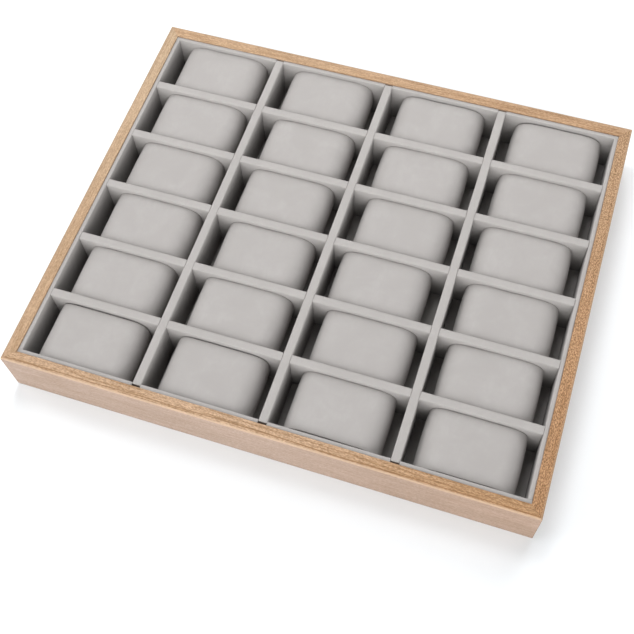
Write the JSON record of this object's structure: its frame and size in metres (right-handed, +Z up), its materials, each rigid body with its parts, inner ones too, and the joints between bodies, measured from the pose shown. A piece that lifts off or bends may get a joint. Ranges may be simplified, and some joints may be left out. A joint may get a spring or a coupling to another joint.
{
  "type": "watch tray",
  "caption": "Shallow rectangular display tray for watches: a mitred wooden frame around a velvet-lined grid of open cells, each holding a soft lift-out pillow.",
  "frame": {"origin": "on the surface the tray stands on, below the middle of the frame", "axes": "+X along the long side to the viewer's right, +Y from the near side to the far side, +Z up"},
  "size_m": [0.425, 0.356, 0.047],
  "materials": {
    "oak_veneer": "satin",
    "fibreboard": "matte",
    "base_felt": "matte",
    "liner_velvet": "matte",
    "pillow_velvet": "matte"
  },
  "bodies": {
    "tray": {"frame_far": "oak_veneer", "frame_near": "oak_veneer", "frame_left": "oak_veneer", "frame_right": "oak_veneer", "base_board": "fibreboard", "base_felt": "base_felt", "floor_pad": "liner_velvet", "liner_far": "liner_velvet", "liner_near": "liner_velvet", "liner_left": "liner_velvet", "liner_right": "liner_velvet", "long_divider_1": "liner_velvet", "long_divider_2": "liner_velvet", "long_divider_3": "liner_velvet", "cross_divider_1": "liner_velvet", "cross_divider_2": "liner_velvet", "cross_divider_3": "liner_velvet", "cross_divider_4": "liner_velvet", "cross_divider_5": "liner_velvet"},
    "pillow_r1_c1": {"pillow_r1_c1": "pillow_velvet"},
    "pillow_r1_c2": {"pillow_r1_c2": "pillow_velvet"},
    "pillow_r1_c3": {"pillow_r1_c3": "pillow_velvet"},
    "pillow_r1_c4": {"pillow_r1_c4": "pillow_velvet"},
    "pillow_r2_c1": {"pillow_r2_c1": "pillow_velvet"},
    "pillow_r2_c2": {"pillow_r2_c2": "pillow_velvet"},
    "pillow_r2_c3": {"pillow_r2_c3": "pillow_velvet"},
    "pillow_r2_c4": {"pillow_r2_c4": "pillow_velvet"},
    "pillow_r3_c1": {"pillow_r3_c1": "pillow_velvet"},
    "pillow_r3_c2": {"pillow_r3_c2": "pillow_velvet"},
    "pillow_r3_c3": {"pillow_r3_c3": "pillow_velvet"},
    "pillow_r3_c4": {"pillow_r3_c4": "pillow_velvet"},
    "pillow_r4_c1": {"pillow_r4_c1": "pillow_velvet"},
    "pillow_r4_c2": {"pillow_r4_c2": "pillow_velvet"},
    "pillow_r4_c3": {"pillow_r4_c3": "pillow_velvet"},
    "pillow_r4_c4": {"pillow_r4_c4": "pillow_velvet"},
    "pillow_r5_c1": {"pillow_r5_c1": "pillow_velvet"},
    "pillow_r5_c2": {"pillow_r5_c2": "pillow_velvet"},
    "pillow_r5_c3": {"pillow_r5_c3": "pillow_velvet"},
    "pillow_r5_c4": {"pillow_r5_c4": "pillow_velvet"},
    "pillow_r6_c1": {"pillow_r6_c1": "pillow_velvet"},
    "pillow_r6_c2": {"pillow_r6_c2": "pillow_velvet"},
    "pillow_r6_c3": {"pillow_r6_c3": "pillow_velvet"},
    "pillow_r6_c4": {"pillow_r6_c4": "pillow_velvet"}
  },
  "joints": [
    {"name": "lift_r1_c1", "type": "slide", "parent": "tray", "child": "pillow_r1_c1", "axis": [0, 0, 1], "range_m": [0, 0.045]},
    {"name": "lift_r1_c2", "type": "slide", "parent": "tray", "child": "pillow_r1_c2", "axis": [0, 0, 1], "range_m": [0, 0.045]},
    {"name": "lift_r1_c3", "type": "slide", "parent": "tray", "child": "pillow_r1_c3", "axis": [0, 0, 1], "range_m": [0, 0.045]},
    {"name": "lift_r1_c4", "type": "slide", "parent": "tray", "child": "pillow_r1_c4", "axis": [0, 0, 1], "range_m": [0, 0.045]},
    {"name": "lift_r2_c1", "type": "slide", "parent": "tray", "child": "pillow_r2_c1", "axis": [0, 0, 1], "range_m": [0, 0.045]},
    {"name": "lift_r2_c2", "type": "slide", "parent": "tray", "child": "pillow_r2_c2", "axis": [0, 0, 1], "range_m": [0, 0.045]},
    {"name": "lift_r2_c3", "type": "slide", "parent": "tray", "child": "pillow_r2_c3", "axis": [0, 0, 1], "range_m": [0, 0.045]},
    {"name": "lift_r2_c4", "type": "slide", "parent": "tray", "child": "pillow_r2_c4", "axis": [0, 0, 1], "range_m": [0, 0.045]},
    {"name": "lift_r3_c1", "type": "slide", "parent": "tray", "child": "pillow_r3_c1", "axis": [0, 0, 1], "range_m": [0, 0.045]},
    {"name": "lift_r3_c2", "type": "slide", "parent": "tray", "child": "pillow_r3_c2", "axis": [0, 0, 1], "range_m": [0, 0.045]},
    {"name": "lift_r3_c3", "type": "slide", "parent": "tray", "child": "pillow_r3_c3", "axis": [0, 0, 1], "range_m": [0, 0.045]},
    {"name": "lift_r3_c4", "type": "slide", "parent": "tray", "child": "pillow_r3_c4", "axis": [0, 0, 1], "range_m": [0, 0.045]},
    {"name": "lift_r4_c1", "type": "slide", "parent": "tray", "child": "pillow_r4_c1", "axis": [0, 0, 1], "range_m": [0, 0.045]},
    {"name": "lift_r4_c2", "type": "slide", "parent": "tray", "child": "pillow_r4_c2", "axis": [0, 0, 1], "range_m": [0, 0.045]},
    {"name": "lift_r4_c3", "type": "slide", "parent": "tray", "child": "pillow_r4_c3", "axis": [0, 0, 1], "range_m": [0, 0.045]},
    {"name": "lift_r4_c4", "type": "slide", "parent": "tray", "child": "pillow_r4_c4", "axis": [0, 0, 1], "range_m": [0, 0.045]},
    {"name": "lift_r5_c1", "type": "slide", "parent": "tray", "child": "pillow_r5_c1", "axis": [0, 0, 1], "range_m": [0, 0.045]},
    {"name": "lift_r5_c2", "type": "slide", "parent": "tray", "child": "pillow_r5_c2", "axis": [0, 0, 1], "range_m": [0, 0.045]},
    {"name": "lift_r5_c3", "type": "slide", "parent": "tray", "child": "pillow_r5_c3", "axis": [0, 0, 1], "range_m": [0, 0.045]},
    {"name": "lift_r5_c4", "type": "slide", "parent": "tray", "child": "pillow_r5_c4", "axis": [0, 0, 1], "range_m": [0, 0.045]},
    {"name": "lift_r6_c1", "type": "slide", "parent": "tray", "child": "pillow_r6_c1", "axis": [0, 0, 1], "range_m": [0, 0.045]},
    {"name": "lift_r6_c2", "type": "slide", "parent": "tray", "child": "pillow_r6_c2", "axis": [0, 0, 1], "range_m": [0, 0.045]},
    {"name": "lift_r6_c3", "type": "slide", "parent": "tray", "child": "pillow_r6_c3", "axis": [0, 0, 1], "range_m": [0, 0.045]},
    {"name": "lift_r6_c4", "type": "slide", "parent": "tray", "child": "pillow_r6_c4", "axis": [0, 0, 1], "range_m": [0, 0.045]}
  ]
}
